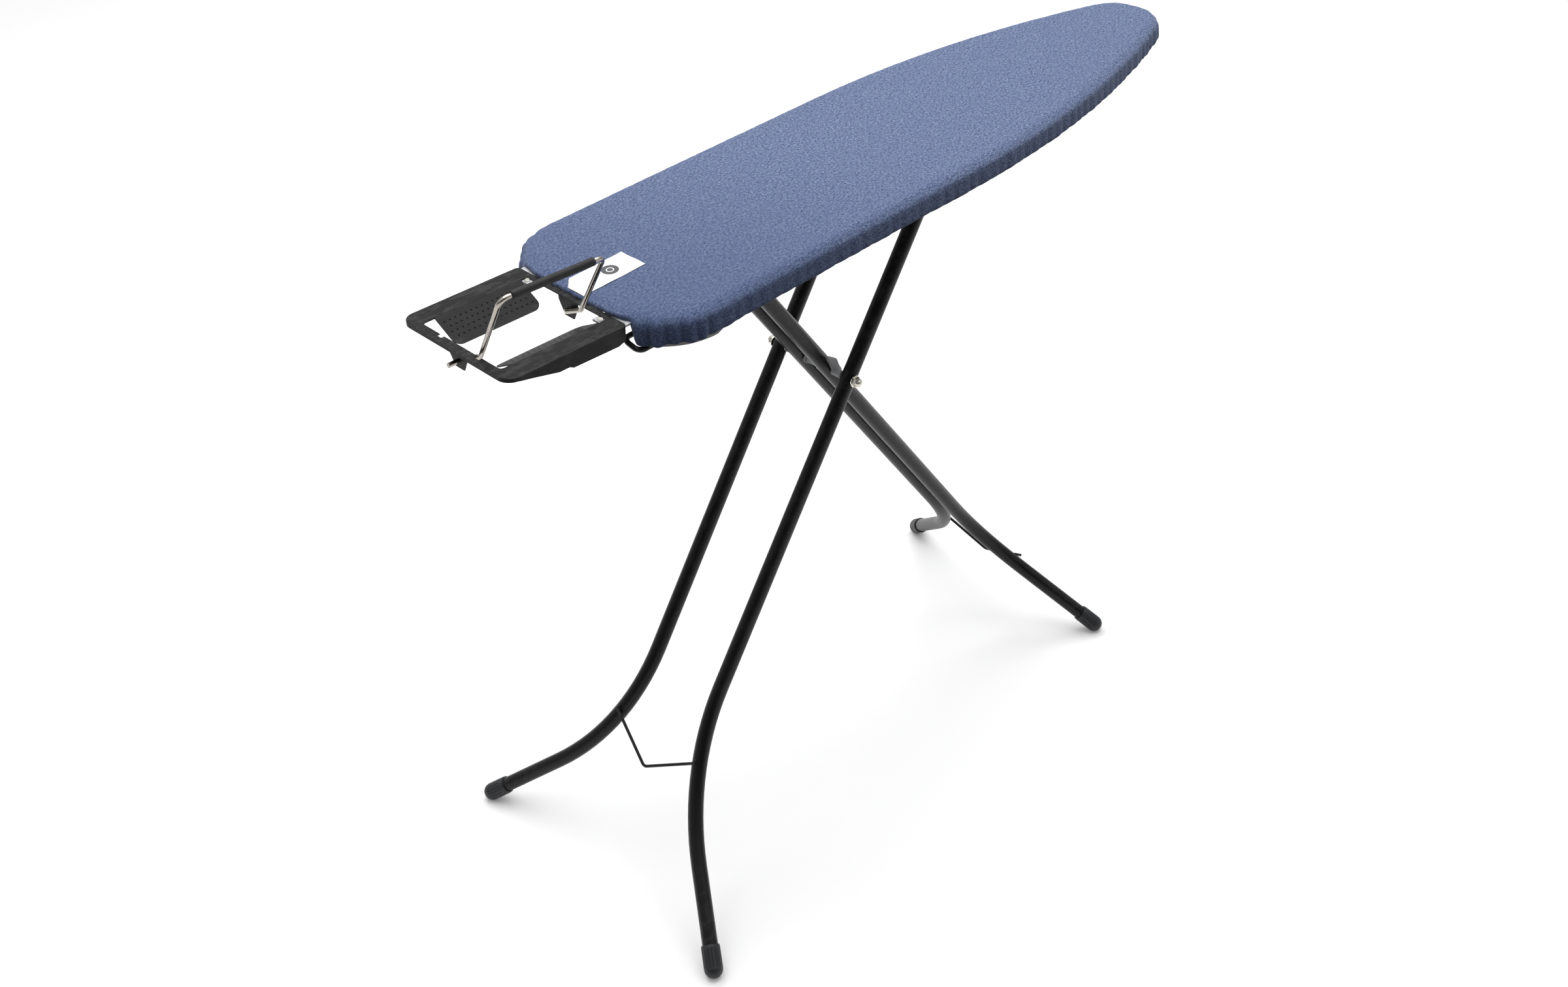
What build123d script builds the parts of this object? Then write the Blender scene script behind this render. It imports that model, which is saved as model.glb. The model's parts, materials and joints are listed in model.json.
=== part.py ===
from build123d import *
import os
from math import atan2, cos, degrees, hypot, radians, sin, sqrt, tan

# Folding ironing board, standing open at its working height. Millimetres, +Z up, floor at z = 0.
# +X runs from the iron tray towards the nose, and the board is symmetric about the XZ plane.

# ---- board top -------------------------------------------------------------------------------
NOSE_X = 644.0            # tip of the nose
END_X = -464.0            # square end of the cover, where the iron tray starts
HALF_WIDTH = 151.0
CORNER_R = 92.0
TAPER_X = 89.0            # the sides start to curve towards the nose here
NOSE_R = 62.0
TOP_Z = 955.7             # ironing surface
COVER_T = 1.6
PAD_T = 4.6
LABEL_T = 0.3             # tag on the cover
LABEL_X, LABEL_Y, LABEL_CUT = (END_X + 2.0, END_X + 95.0), (-22.0, 21.0), 12.0
HEM_Z = 925.8             # lowest edge of the cover
PAN_T = 1.4               # pressed steel board
PAN_INSET = 5.0
RIM_H, RIM_T, RIM_LIP = 19.0, 1.4, 8.0   # its rim, with a lip turned inwards
NOTCH_HALF, NOTCH_DEEP = 99.0, 40.0      # the rim and the cover are cut away behind the tray
VENT_R, VENT_X, VENT_Y = 6.5, 36.0, 31.0  # radius and pitch of the steam holes
VENT_EDGE = 22.0
PAN_Z = TOP_Z - COVER_T - PAD_T          # top face of the steel board
UNDER_Z = PAN_Z - PAN_T                  # its underside, which every bracket is fixed to

# ---- leg frames: a scissor with four equal arms above the pivot --------------------------------
LEG_ANGLE = 55.1          # legs to the floor, degrees
PIVOT_X, PIVOT_Z = -68.3, 666.5
TOP_AXIS_Z = 905.0
TUBE_R, TUBE_WALL = 11.0, 1.2
FOOT_R = 13.25
FOOT_CENTRE_Z = 12.9       # the round ends are ground to a small flat that stands on the floor
OUTER = dict(toward=-1, y=64.0, corner=603.6, bend_r=350.0, foot_y=243.5, foot_lift=15.6,
             brace_low=(630.0, 10.6), brace_end=(579.0, 82.7, 13.7))
INNER = dict(toward=1, y=24.6, corner=595.0, bend_r=270.0, foot_y=195.3, foot_lift=-6.1,
             brace_low=(695.0, 1.0), brace_end=(664.5, 78.6, 13.9))
TOP_STUB = 11.0           # tube left above its top axis
ARM = (TOP_AXIS_Z - PIVOT_Z) / sin(radians(LEG_ANGLE))
HINGE_X = PIVOT_X - ARM * cos(radians(LEG_ANGLE))       # inner legs, fixed axis
SLIDE_X = PIVOT_X + ARM * cos(radians(LEG_ANGLE))       # outer legs, sliding axis
SLIDE_END_X = HINGE_X + 2 * ARM                         # the same axis with the legs folded
RUN = 0.05                # radial running clearance
PIVOT_R, HINGE_R, SLIDE_R = 4.0, 5.0, 4.0
BRACE_R = 2.25

# ---- spacers on the pivot -----------------------------------------------------------------------
SPACER_GAP = 0.4          # from a spacer to the tubes beside it
WAIST_R, FLANGE_R, FLANGE_T = 5.6, 8.0, 2.4
HOOK_T = 6.0
# its hook is the hull of four discs: along the tube, lift from it, radius
HOOK_LOBES = ((-27.0, 5.5, 3.2), (-15.0, 7.2, 6.2), (-4.0, 4.5, 6.0), (4.0, 3.5, 6.4))

# ---- iron tray ---------------------------------------------------------------------------------
TRAY_LEN, TRAY_W, TRAY_T = 171.0, 196.3, 1.5
TRAY_TILT = 2.33          # degrees, front edge up
TRAY_REAR = (END_X - 1.0, 949.5)         # x and z of the rear edge's top face
TRAY_CORNER_R = 18.0
RIM_FRONT, RIM_REAR, SIDE_BAR = 12.0, 8.0, 27.15
OPENING_R = 5.0
SLOT_Y, SLOT_LEN, SLOT_W, SLOT_R = 34.0, 9.0, 8.5, 1.5   # slots in the front rim
FLAP_REACH, FLAP_DROP = 39.0, 21.0
FLAP_FROM, FLAP_TO = -142.0, -18.0
DIMPLE_R, DIMPLE_PITCH, DIMPLE_ROWS, DIMPLE_COLUMNS = 1.5, 7.6, 4, 15
SKIRT = ((-TRAY_LEN, 1), (-TRAY_LEN, -5), (-157, -5), (-138, -9), (-100, -18), (-86, -18),
         (-80, -21), (-14, -22.3), (-4, -19), (-2, -15), (-2, 1))
ARM_T, ARM_FRONT, ARM_REAR = 3.0, -42.0, 72.0
ARM_INNER, ARM_BAR, ARM_OUTER = 57.0, 73.0, 95.0   # its two inner edges and its outer edge
ARM_LUG = -17.0           # the arm widens inwards behind this
RIVET_R, RIVET_T, RIVET_EDGE = 3.4, 2.0, 0.8
RIVET_BACKS = (26.0, 56.0)   # rivets under the board, from its square end
LUG_RIVET = (-12.2, 66.0)    # x and y of the rivet on each lug, in the tray's own frame

# ---- wire bail over the tray -------------------------------------------------------------------
WIRE_R, SLEEVE_R, SLEEVE_EDGE = 3.0, 4.9, 0.5
BAIL_FRONT_X, BAIL_REAR_X = -620.5, -477.0
BAIL_AXIS_Z = 936.0       # at the middle of the tray
BAIL_MID_X = -551.0
CRANK = (-31.0, 14.5)     # y and height of the wire's lower bends above the axis
BAIL_TOP = (-84.0, 106.0)
BAIL_TIP_X, BAIL_END_X = -644.0, -466.0
BAIL_SKEW = 0.028         # the grip rises a little more to the front than the tray does

# ---- height lock -------------------------------------------------------------------------------
LEVER_R = 3.5
SHAFT_Y, SHAFT_Z = -80.0, 920.6
GRIP_Y, GRIP_DROP = -107.0, 6.0
HANDLE_X0, HANDLE_X1 = END_X + 5.0, END_X + 80.0
COMB_Z = 921.5
COMB_T = 2.0
NOTCH_PITCH, NOTCH_COUNT = 30.0, 6

os.makedirs("parts", exist_ok=True)


def save(name, *solids):
    shape = solids[0] if len(solids) == 1 else Compound(children=list(solids))
    shape.label = name
    export_step(shape, f"parts/{name}.step")


def block(x0, x1, y0, y1, z0, z1):
    return Pos((x0 + x1) / 2, (y0 + y1) / 2, (z0 + z1) / 2) * Box(x1 - x0, y1 - y0, z1 - z0)


def side_block(side, x0, x1, y0, y1, z0, z1):
    """A block given by its distances from the middle plane, on one side of the board."""
    return block(x0, x1, min(side * y0, side * y1), max(side * y0, side * y1), z0, z1)


def rod_y(x, z, radius, y0, y1):
    return Pos(x, (y0 + y1) / 2, z) * Rot(90, 0, 0) * Cylinder(radius, abs(y1 - y0))


def rod_x(y, z, radius, x0, x1):
    return Pos((x0 + x1) / 2, y, z) * Rot(0, 90, 0) * Cylinder(radius, abs(x1 - x0))


def rod_z(x, y, radius, z0, z1):
    return Pos(x, y, (z0 + z1) / 2) * Cylinder(radius, z1 - z0)


def bent_rod(points, radius, bends):
    path = FilletPolyline(*points, radius=bends)
    start = Plane(origin=path @ 0, z_dir=path % 0)
    return sweep(start * Circle(radius), path=path)


def mirrored(solid):
    return mirror(solid, about=Plane.XZ)


# ---- board outline: straight sides, a long taper arc and the nose arc, all tangent --------------
def board_outline(inset):
    """The board's outline as a face in the XY plane, moved inwards by inset."""
    reach = NOSE_X - NOSE_R - TAPER_X
    gap = HALF_WIDTH - NOSE_R
    taper_r = (reach**2 / gap + HALF_WIDTH + NOSE_R) / 2
    lean = atan2(reach, taper_r - HALF_WIDTH)
    width, corner = HALF_WIDTH - inset, CORNER_R - inset
    taper, nose = taper_r - inset, NOSE_R - inset
    centre = (TAPER_X, HALF_WIDTH - taper_r)
    nose_c = NOSE_X - NOSE_R
    end = END_X + inset
    square = HALF_WIDTH - CORNER_R
    corner_c = END_X + CORNER_R
    half = radians(45)
    corner_mid = (corner_c - corner * cos(half), square + corner * sin(half))
    taper_mid = (centre[0] + taper * sin(lean / 2), centre[1] + taper * cos(lean / 2))
    meet = (nose_c + nose * sin(lean), nose * cos(lean))
    upper = [
        ThreePointArc((end, square), corner_mid, (corner_c, width)),
        Line((corner_c, width), (TAPER_X, width)),
        ThreePointArc((TAPER_X, width), taper_mid, meet),
    ]
    lower = [mirror(edge, about=Plane.XZ) for edge in upper]
    nose_arc = ThreePointArc(meet, (nose_c + nose, 0), (meet[0], -meet[1]))
    return make_face([Line((end, -square), (end, square)), *upper, nose_arc, *lower])


def board_prism(inset, z0, z1):
    return Pos(0, 0, z0) * extrude(board_outline(inset), z1 - z0)


def tray_notch():
    """Room behind the tray, where the skirt of the board is cut away."""
    return block(END_X - 5, END_X + NOTCH_DEEP, -NOTCH_HALF, NOTCH_HALF, HEM_Z - 1, UNDER_Z)


def vent_room(x):
    """Half the width that holes may take up at x."""
    room = HALF_WIDTH - VENT_EDGE
    if x > TAPER_X:
        nose = NOSE_X - 35.0
        room *= sqrt(max(0.0, 1 - ((x - TAPER_X) / (nose - TAPER_X)) ** 2))
    return room


def make_board_top():
    """The perforated steel sheet under the padding."""
    first_x, corner_y, corner_slope = END_X + 30.0, 75.0, 1.2
    holes = []
    for row in range(-4, 5):
        for column in range(31):
            x = first_x + VENT_X * (column + (row % 2) / 2)
            y = row * VENT_Y
            corner_x = END_X + 20.0 + corner_slope * max(0.0, abs(y) - corner_y)
            if abs(y) < vent_room(x) and x > corner_x:
                holes.append(rod_z(x, y, VENT_R, UNDER_Z - 1, PAN_Z + 1))
    return board_prism(PAN_INSET, UNDER_Z, PAN_Z) - holes


def make_board_rim():
    """The steel band round the edge, with a lip turned inwards at the bottom."""
    low = PAN_Z - RIM_H
    rim = board_prism(PAN_INSET, low, UNDER_Z) - board_prism(PAN_INSET + RIM_T, low + RIM_T, UNDER_Z)
    return rim - board_prism(PAN_INSET + RIM_T + RIM_LIP, low, low + RIM_T) - tray_notch()


def make_underlay():
    return board_prism(PAN_INSET - 2.5, PAN_Z, PAN_Z + PAD_T)


def make_cover():
    hem_width = 15.0
    cover = board_prism(0, HEM_Z, TOP_Z)
    cover -= board_prism(COVER_T, HEM_Z + COVER_T, TOP_Z - COVER_T)
    cover -= board_prism(hem_width, HEM_Z, HEM_Z + COVER_T)
    return cover - tray_notch() - make_label()


# ---- tubes -------------------------------------------------------------------------------------
def leg_point(frame, along, y, lift):
    """A point of a leg frame: distance down the leg from the pivot, y, and height off its plane."""
    a = radians(LEG_ANGLE)
    x = PIVOT_X + frame["toward"] * (along * cos(a) + lift * sin(a))
    return Vector(x, y, PIVOT_Z - along * sin(a) + lift * cos(a))


def leg_route(frame):
    """Top end, corner and foot centre of one tube, on the +Y side."""
    a = radians(LEG_ANGLE)
    foot = (PIVOT_Z - FOOT_CENTRE_Z + frame["foot_lift"] * cos(a)) / sin(a)
    return [
        leg_point(frame, -ARM - TOP_STUB, frame["y"], 0),
        leg_point(frame, frame["corner"], frame["y"], 0),
        leg_point(frame, foot, frame["foot_y"], frame["foot_lift"]),
    ]


def make_leg(frame, top_bore):
    points = leg_route(frame)
    tube = bent_rod(points, TUBE_R, frame["bend_r"]) - bent_rod(points, TUBE_R - TUBE_WALL, frame["bend_r"])
    top_x = PIVOT_X - frame["toward"] * ARM * cos(radians(LEG_ANGLE))
    y0, y1 = frame["y"] - 15, frame["y"] + 15
    tube -= rod_y(PIVOT_X, PIVOT_Z, PIVOT_R + RUN, y0, y1)
    return tube - rod_y(top_x, TOP_AXIS_Z, top_bore, y0, y1)


def make_foot_cap(frame):
    """A ribbed cap with a round end, pushed onto the foot of one tube."""
    _, corner, foot = leg_route(frame)
    back = (corner - foot).normalized()
    collar, lip, socket = 32.0, 3.5, 0.06
    profile = [
        Line((0, -FOOT_R), (0, collar)),
        Line((0, collar), (FOOT_R - 0.6, collar)),
        Line((FOOT_R - 0.6, collar), (FOOT_R, collar - lip)),
        Line((FOOT_R, collar - lip), (FOOT_R, 0)),
        ThreePointArc((FOOT_R, 0), (FOOT_R * cos(radians(45)), -FOOT_R * sin(radians(45))), (0, -FOOT_R)),
    ]
    cap = revolve(Plane.XZ * make_face(profile), Axis.Z)
    cap -= Pos(0, 0, collar / 2) * Cylinder(TUBE_R + socket, collar)
    rib_count, rib_r = 16, 0.9
    for index in range(rib_count):
        groove = Pos(FOOT_R + 0.25, 0, (collar - lip - 1) / 2) * Cylinder(rib_r, collar - lip - 5)
        cap -= Rot(0, 0, 360 * index / rib_count) * groove
    cap = Plane(origin=foot, z_dir=back).location * cap
    return cap - Pos(foot.X, foot.Y, -10) * Box(60, 60, 20)


def make_brace(frame):
    """A V of round wire laid across a pair of legs and welded to their upper sides."""
    low, low_lift = frame["brace_low"]
    end, end_y, end_lift = frame["brace_end"]
    points = [
        leg_point(frame, end, end_y, end_lift),
        leg_point(frame, low, 0, low_lift),
        leg_point(frame, end, -end_y, end_lift),
    ]
    tube = bent_rod(leg_route(frame), TUBE_R + 0.05, frame["bend_r"])
    brace = bent_rod(points, BRACE_R, 9.0) - [tube, mirrored(tube)]
    return max(brace.solids(), key=lambda solid: solid.volume)


# ---- legs, pivot and hinges --------------------------------------------------------------------
def make_pivot_rod():
    return rod_y(PIVOT_X, PIVOT_Z, PIVOT_R, -79.5, 79.5)


def make_washer(side):
    y0 = OUTER["y"] + TUBE_R + 0.2
    ring = rod_y(PIVOT_X, PIVOT_Z, 8.5, side * y0, side * (y0 + 1.4))
    return ring - rod_y(PIVOT_X, PIVOT_Z, PIVOT_R + RUN, side * (y0 - 1), side * (y0 + 3))


def make_cap_nut(side):
    """A domed nut: a hexagon with a ball end, blind over the end of the pivot rod."""
    y0 = OUTER["y"] + TUBE_R + 1.7
    hexagon = extrude(RegularPolygon(7.5, 6), 5.0)
    dome = (Pos(0, 0, 5.0) * Sphere(6.2)) & (Pos(0, 0, 7.2) * Box(20, 20, 8.4))
    nut = hexagon + dome - Pos(0, 0, 3) * Cylinder(PIVOT_R + 0.02, 6.0)
    return Pos(PIVOT_X, side * y0, PIVOT_Z) * Rot(-90 * side, 0, 0) * nut


def make_side_spacer():
    """A moulded spacer between the right-hand inner and outer tubes, hooked over the inner tube."""
    a = radians(LEG_ANGLE)
    inner = INNER["y"] + TUBE_R + SPACER_GAP
    length = OUTER["y"] - TUBE_R - SPACER_GAP - inner
    near = Plane(origin=(PIVOT_X, -inner, PIVOT_Z), x_dir=(cos(a), 0, -sin(a)), z_dir=(0, -1, 0))
    rings = [CenterArc((along, lift), radius, 0, 360).edges() for along, lift, radius in HOOK_LOBES]
    hulls = [extrude(make_hull([*one, *two]), HOOK_T) for one, two in zip(rings, rings[1:])]
    hook = hulls[0] + hulls[1:]
    hook = chamfer(hook.faces().sort_by(Axis.Z)[-1].edges(), 1.4)
    spacer = hook + Pos(0, 0, length / 2) * Cylinder(WAIST_R, length)
    return near.location * (spacer - Cylinder(PIVOT_R + RUN, 3 * length))


def make_centre_spacer():
    """A moulded spool between the two inner tubes."""
    half = INNER["y"] - TUBE_R - SPACER_GAP
    spool = rod_y(PIVOT_X, PIVOT_Z, WAIST_R, -half, half)
    for side in (1, -1):
        spool += rod_y(PIVOT_X, PIVOT_Z, FLANGE_R, side * (half - FLANGE_T), side * half)
    return spool - rod_y(PIVOT_X, PIVOT_Z, PIVOT_R + RUN, -half - 1, half + 1)


def make_hinge_bracket(side):
    """A U bracket under the board that holds the top of one inner leg."""
    wall, length = 1.6, 40.0
    inner_y, outer_y = INNER["y"] - TUBE_R - 0.4, INNER["y"] + TUBE_R + 0.4
    x0, x1, low = HINGE_X - length / 2, HINGE_X + length / 2, TOP_AXIS_Z - 11
    bracket = side_block(side, x0, x1, inner_y - wall, outer_y + wall, low, UNDER_Z)
    bracket -= side_block(side, x0, x1, inner_y, outer_y, low, UNDER_Z - wall)
    for y in (inner_y - wall / 2, outer_y + wall / 2):
        for sign in (1, -1):
            corner = Pos(HINGE_X + sign * length / 2, side * y, low) * Rot(0, 45, 0) * Box(16, wall * 2, 16)
            bracket -= corner
    return bracket - rod_y(HINGE_X, TOP_AXIS_Z, HINGE_R + RUN, side * (inner_y - 5), side * (outer_y + 5))


def make_hinge_axle():
    reach = INNER["y"] + TUBE_R + 4.0
    axle = rod_y(HINGE_X, TOP_AXIS_Z, HINGE_R, -reach, reach)
    for side in (1, -1):
        axle += rod_y(HINGE_X, TOP_AXIS_Z, HINGE_R + 2.0, side * reach, side * (reach + 1.6))
    return axle


def make_slide_pin(side):
    return rod_y(SLIDE_X, TOP_AXIS_Z, SLIDE_R, side * 41.4, side * (OUTER["y"] + TUBE_R + 1.5))


# ---- sliding carriage and its rails --------------------------------------------------------------
WEB_Y, LIP_Y = 38.2, 50.4
SHOE_HALF = 6.9


def make_rail(side):
    """A channel open to the outside, hung under the board by a post at each end."""
    wall, slack, over = 1.5, 0.25, 26.0
    x0, x1 = SLIDE_X - over, SLIDE_END_X + over
    inside = SHOE_HALF + slack
    rail = side_block(side, x0, x1, WEB_Y, LIP_Y, TOP_AXIS_Z - inside - wall, TOP_AXIS_Z + inside + wall)
    rail -= side_block(side, x0, x1, WEB_Y + wall, LIP_Y, TOP_AXIS_Z - inside, TOP_AXIS_Z + inside)
    for x, toward in ((x0, 1), (x1, -1)):
        near, far = sorted((x, x + toward * 9))
        rail += side_block(side, near, far, WEB_Y, LIP_Y, TOP_AXIS_Z + inside, UNDER_Z)
    return rail


def make_carriage():
    """Two shoes that run in the rails, joined by a bridge above the inner legs."""
    bridge_z0, bridge_z1 = 917.0, 919.5
    shoe_y, cheek_y0, cheek_y1 = WEB_Y + 1.8, 50.9, 52.4
    half = 13.0
    carriage = block(SLIDE_X - 9, SLIDE_X + 9, -cheek_y1, cheek_y1, bridge_z0, bridge_z1)
    for side in (1, -1):
        z0, z1 = TOP_AXIS_Z - SHOE_HALF, TOP_AXIS_Z + SHOE_HALF
        carriage += side_block(side, SLIDE_X - half, SLIDE_X + half, shoe_y, cheek_y1, z0, z1)
        carriage += side_block(side, SLIDE_X - 9, SLIDE_X + 9, cheek_y0, cheek_y1, z0, bridge_z1)
        carriage -= rod_y(SLIDE_X, TOP_AXIS_Z, SLIDE_R + RUN, side * 41.0, side * 60.0)
    tooth = block(SLIDE_X - 4, SLIDE_X + 4, -36, -30, bridge_z1, COMB_Z - 0.6)
    return carriage + tooth


# ---- height lock ---------------------------------------------------------------------------------
def make_lever():
    """A bent rod: a hand loop at the square end and a long shaft under the board."""
    shaft_end = SLIDE_X + 185
    grip_z = SHAFT_Z - GRIP_DROP
    points = [
        (shaft_end, SHAFT_Y, SHAFT_Z),
        (HANDLE_X0, SHAFT_Y, SHAFT_Z),
        (HANDLE_X0, GRIP_Y, grip_z),
        (HANDLE_X1, GRIP_Y, grip_z),
        (HANDLE_X1, SHAFT_Y - LEVER_R - 0.5, SHAFT_Z - 1),
    ]
    return bent_rod(points, LEVER_R, 9.0)


def make_comb():
    """A notched plate on the shaft. Its notches hold the tooth of the carriage."""
    x0, x1 = SLIDE_X - 14, SLIDE_X + 175
    plate = block(x0, x1, SHAFT_Y + 2.6, -28, COMB_Z, COMB_Z + COMB_T)
    plate -= rod_x(SHAFT_Y, SHAFT_Z, LEVER_R + 0.02, x0 - 1, x1 + 1)
    for index in range(NOTCH_COUNT):
        x = SLIDE_X + index * NOTCH_PITCH
        plate -= block(x - 5.5, x + 5.5, -37, -27, COMB_Z - 1, COMB_Z + COMB_T + 1)
    return plate


CLIP_PLACES = (END_X + 100, HINGE_X + 120, SLIDE_X - 34)


def make_clip(x):
    """A saddle clip that carries the lever's shaft under the board."""
    width, foot_t = 10.0, 1.6
    clip = block(x - width / 2, x + width / 2, SHAFT_Y - 6.5, SHAFT_Y + 6.5, SHAFT_Z, UNDER_Z)
    clip += rod_x(SHAFT_Y, SHAFT_Z, 6.5, x - width / 2, x + width / 2)
    clip += block(x - width / 2, x + width / 2, SHAFT_Y - 16, SHAFT_Y + 16, UNDER_Z - foot_t, UNDER_Z)
    return clip - rod_x(SHAFT_Y, SHAFT_Z, LEVER_R + RUN, x - width, x + width)


# ---- board stiffeners ----------------------------------------------------------------------------
STIFFENERS = ((END_X + 150, 138.0), (SLIDE_X - 75, 138.0), (SLIDE_END_X + 62, 96.0))


def make_stiffener(x, reach):
    """A folded steel strip across the underside."""
    wall, height, half = 1.4, 9.0, 14.0
    strip = block(x - half, x + half, -reach, reach, UNDER_Z - height, UNDER_Z)
    strip -= block(x - half + wall, x + half - wall, -reach, reach, UNDER_Z - height, UNDER_Z - wall)
    return strip


# ---- iron tray -----------------------------------------------------------------------------------
def tray_place(solid):
    """From the tray's own frame (rear edge at x = 0, top face at z = 0) to its place."""
    return Pos(TRAY_REAR[0], 0, TRAY_REAR[1]) * Rot(0, TRAY_TILT, 0) * solid


def tray_outline(inset):
    """Round corners at the front, nearly square ones at the rear."""
    half, front, rear_r = TRAY_W / 2 - inset, -TRAY_LEN + inset, 6.0 - inset
    corner = TRAY_CORNER_R - inset
    path = FilletPolyline(
        (front, half), (front, -half), (-inset, -half), (-inset, half),
        radius=[corner, corner, rear_r, rear_r],
        close=True,
    )
    return make_face(path)


def make_flap(fold_y):
    """A dimpled flap that slopes down into the opening from its fold on the left side bar."""
    slope = degrees(atan2(FLAP_DROP, FLAP_REACH))
    width, length = hypot(FLAP_DROP, FLAP_REACH), FLAP_TO - FLAP_FROM
    corner_r, straight = 11.0, 14.0
    face = Pos(0, -width / 2) * RectangleRounded(length, width, corner_r)
    face += Pos(0, -straight / 2) * Rectangle(length, straight)
    flap = extrude(face, -TRAY_T)
    dents = []
    for row in range(DIMPLE_ROWS):
        for column in range(DIMPLE_COLUMNS):
            x = (column - (DIMPLE_COLUMNS - 1) / 2 + (row % 2) / 2 - 0.25) * DIMPLE_PITCH
            dents.append(Pos(x, -10.0 - row * DIMPLE_PITCH, DIMPLE_R / 2) * Sphere(DIMPLE_R))
    return Pos((FLAP_FROM + FLAP_TO) / 2, fold_y + 0.4, 0) * Rot(slope, 0, 0) * (flap - dents)


def make_tray():
    half = TRAY_W / 2
    fold_y = half - SIDE_BAR
    outline = tray_outline(0)
    skirt_face = make_face(Polyline(*SKIRT, close=True))
    deepest = min(z for _, z in SKIRT)
    walls = extrude(outline - tray_outline(TRAY_T), deepest - 1)
    walls &= extrude(Plane.XZ * skirt_face, half + 5, both=True)
    x0, x1 = -TRAY_LEN + RIM_FRONT, -RIM_REAR
    opening = Pos((x0 + x1) / 2, 0) * RectangleRounded(x1 - x0, 2 * fold_y, OPENING_R)
    slots = [Pos(x0, s * SLOT_Y) * RectangleRounded(SLOT_LEN, SLOT_W, SLOT_R) for s in (1, -1)]
    plate = extrude(outline - opening - slots, -TRAY_T)
    flap = make_flap(fold_y)
    return tray_place(plate + [walls, flap, mirrored(flap)])


def make_tray_arm(side):
    """A strip from under the tray's side bar to the underside of the board, wider at the rear."""
    x, slope = TRAY_REAR[0], tan(radians(TRAY_TILT))
    rear_z = TRAY_REAR[1] - TRAY_T / cos(radians(TRAY_TILT)) - 0.02
    level = UNDER_Z - 0.02
    outline = Polyline(
        (x + ARM_FRONT, rear_z - ARM_FRONT * slope),
        (x + 0.2, rear_z - 0.2 * slope),
        (x + 6, level),
        (x + ARM_REAR, level),
        (x + ARM_REAR, level - ARM_T),
        (x + 2, level - ARM_T),
        (x + ARM_FRONT, rear_z - ARM_FRONT * slope - ARM_T),
        close=True,
    )
    arm = extrude(Plane.XZ * make_face(outline), ARM_OUTER + 1, both=True)
    arm &= (side_block(side, x + ARM_FRONT, x + ARM_REAR, ARM_BAR, ARM_OUTER, 900, 1000)
            + side_block(side, x + ARM_LUG, x + ARM_REAR, ARM_INNER, ARM_BAR, 900, 1000))
    return arm


# ---- bail ----------------------------------------------------------------------------------------
def bail_point(x, y, rise):
    """A point above the bail's axis, which is tilted as the tray is."""
    return (x, y, BAIL_AXIS_Z - (x - BAIL_MID_X) * tan(radians(TRAY_TILT)) + rise)


def grip_ends():
    front = bail_point(BAIL_FRONT_X, BAIL_TOP[0], BAIL_TOP[1] - (BAIL_FRONT_X - BAIL_MID_X) * BAIL_SKEW)
    rear = bail_point(BAIL_REAR_X, BAIL_TOP[0], BAIL_TOP[1] - (BAIL_REAR_X - BAIL_MID_X) * BAIL_SKEW)
    return front, rear


def make_bail_wire():
    front, rear = grip_ends()
    points = [
        bail_point(BAIL_TIP_X, 0, 0),
        bail_point(BAIL_FRONT_X, 0, 0),
        bail_point(BAIL_FRONT_X, *CRANK),
        front,
        rear,
        bail_point(BAIL_REAR_X, *CRANK),
        bail_point(BAIL_REAR_X, 0, 0),
        bail_point(BAIL_END_X, 0, 0),
    ]
    return bent_rod(points, WIRE_R, [5.0, 7.0, 11.0, 11.0, 7.0, 5.0])


def make_bail_sleeve():
    """A heat-proof sleeve on the straight top of the bail."""
    front, rear = (Vector(*point) for point in grip_ends())
    along = (rear - front).normalized()
    start, end = front + along * 15.0, rear - along * 15.0
    length = (end - start).length
    outside = Cylinder(SLEEVE_R, length)
    outside = chamfer(outside.edges().filter_by(GeomType.CIRCLE), SLEEVE_EDGE)
    sleeve = outside - Cylinder(WIRE_R + 0.03, length)
    return Plane(origin=(start + end) * 0.5, z_dir=along).location * sleeve


def make_bail_bracket(x):
    """A plate under a rim of the tray, with the hole that the bail's end turns in."""
    wall, half, foot = 1.6, 17.0, 8.0
    slope = tan(radians(TRAY_TILT))
    behind = x + wall - TRAY_REAR[0]
    top = TRAY_REAR[1] - behind * slope - TRAY_T - 0.25
    axis_z = bail_point(x, 0, 0)[2]
    low = axis_z - 10.0
    shoulder = top - 7.0
    right = [(half, top), (half, shoulder), (foot, low)]
    left = [(-y, z) for y, z in reversed(right)]
    outline = Polyline(*right, *left, close=True)
    plate = extrude(Plane.YZ * make_face(outline), wall)
    return Pos(x, 0, 0) * plate - rod_x(0, axis_z, WIRE_R + RUN, x - 5, x + 5)


# ---- label and small fixings ---------------------------------------------------------------------
def make_label():
    """A plain tag pressed flush into the cover at its square end, with one corner cut off."""
    (x0, x1), (y0, y1) = LABEL_X, LABEL_Y
    corner = ((x0 + LABEL_CUT, y1), (x0, y1 - LABEL_CUT))
    face = make_face(Polyline((x0, y0), (x1, y0), (x1, y1), *corner, close=True))
    return Pos(0, 0, TOP_Z - LABEL_T) * extrude(face, LABEL_T)


def rivet_head(up):
    """A button head on the plane z = 0, standing up or hanging down from it."""
    blank = extrude(Circle(RIVET_R), RIVET_T)
    head = Pos(0, 0, 0.02) * chamfer(blank.edges().sort_by(Axis.Z)[-1], RIVET_EDGE)
    return head if up else Rot(180, 0, 0) * head


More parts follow.
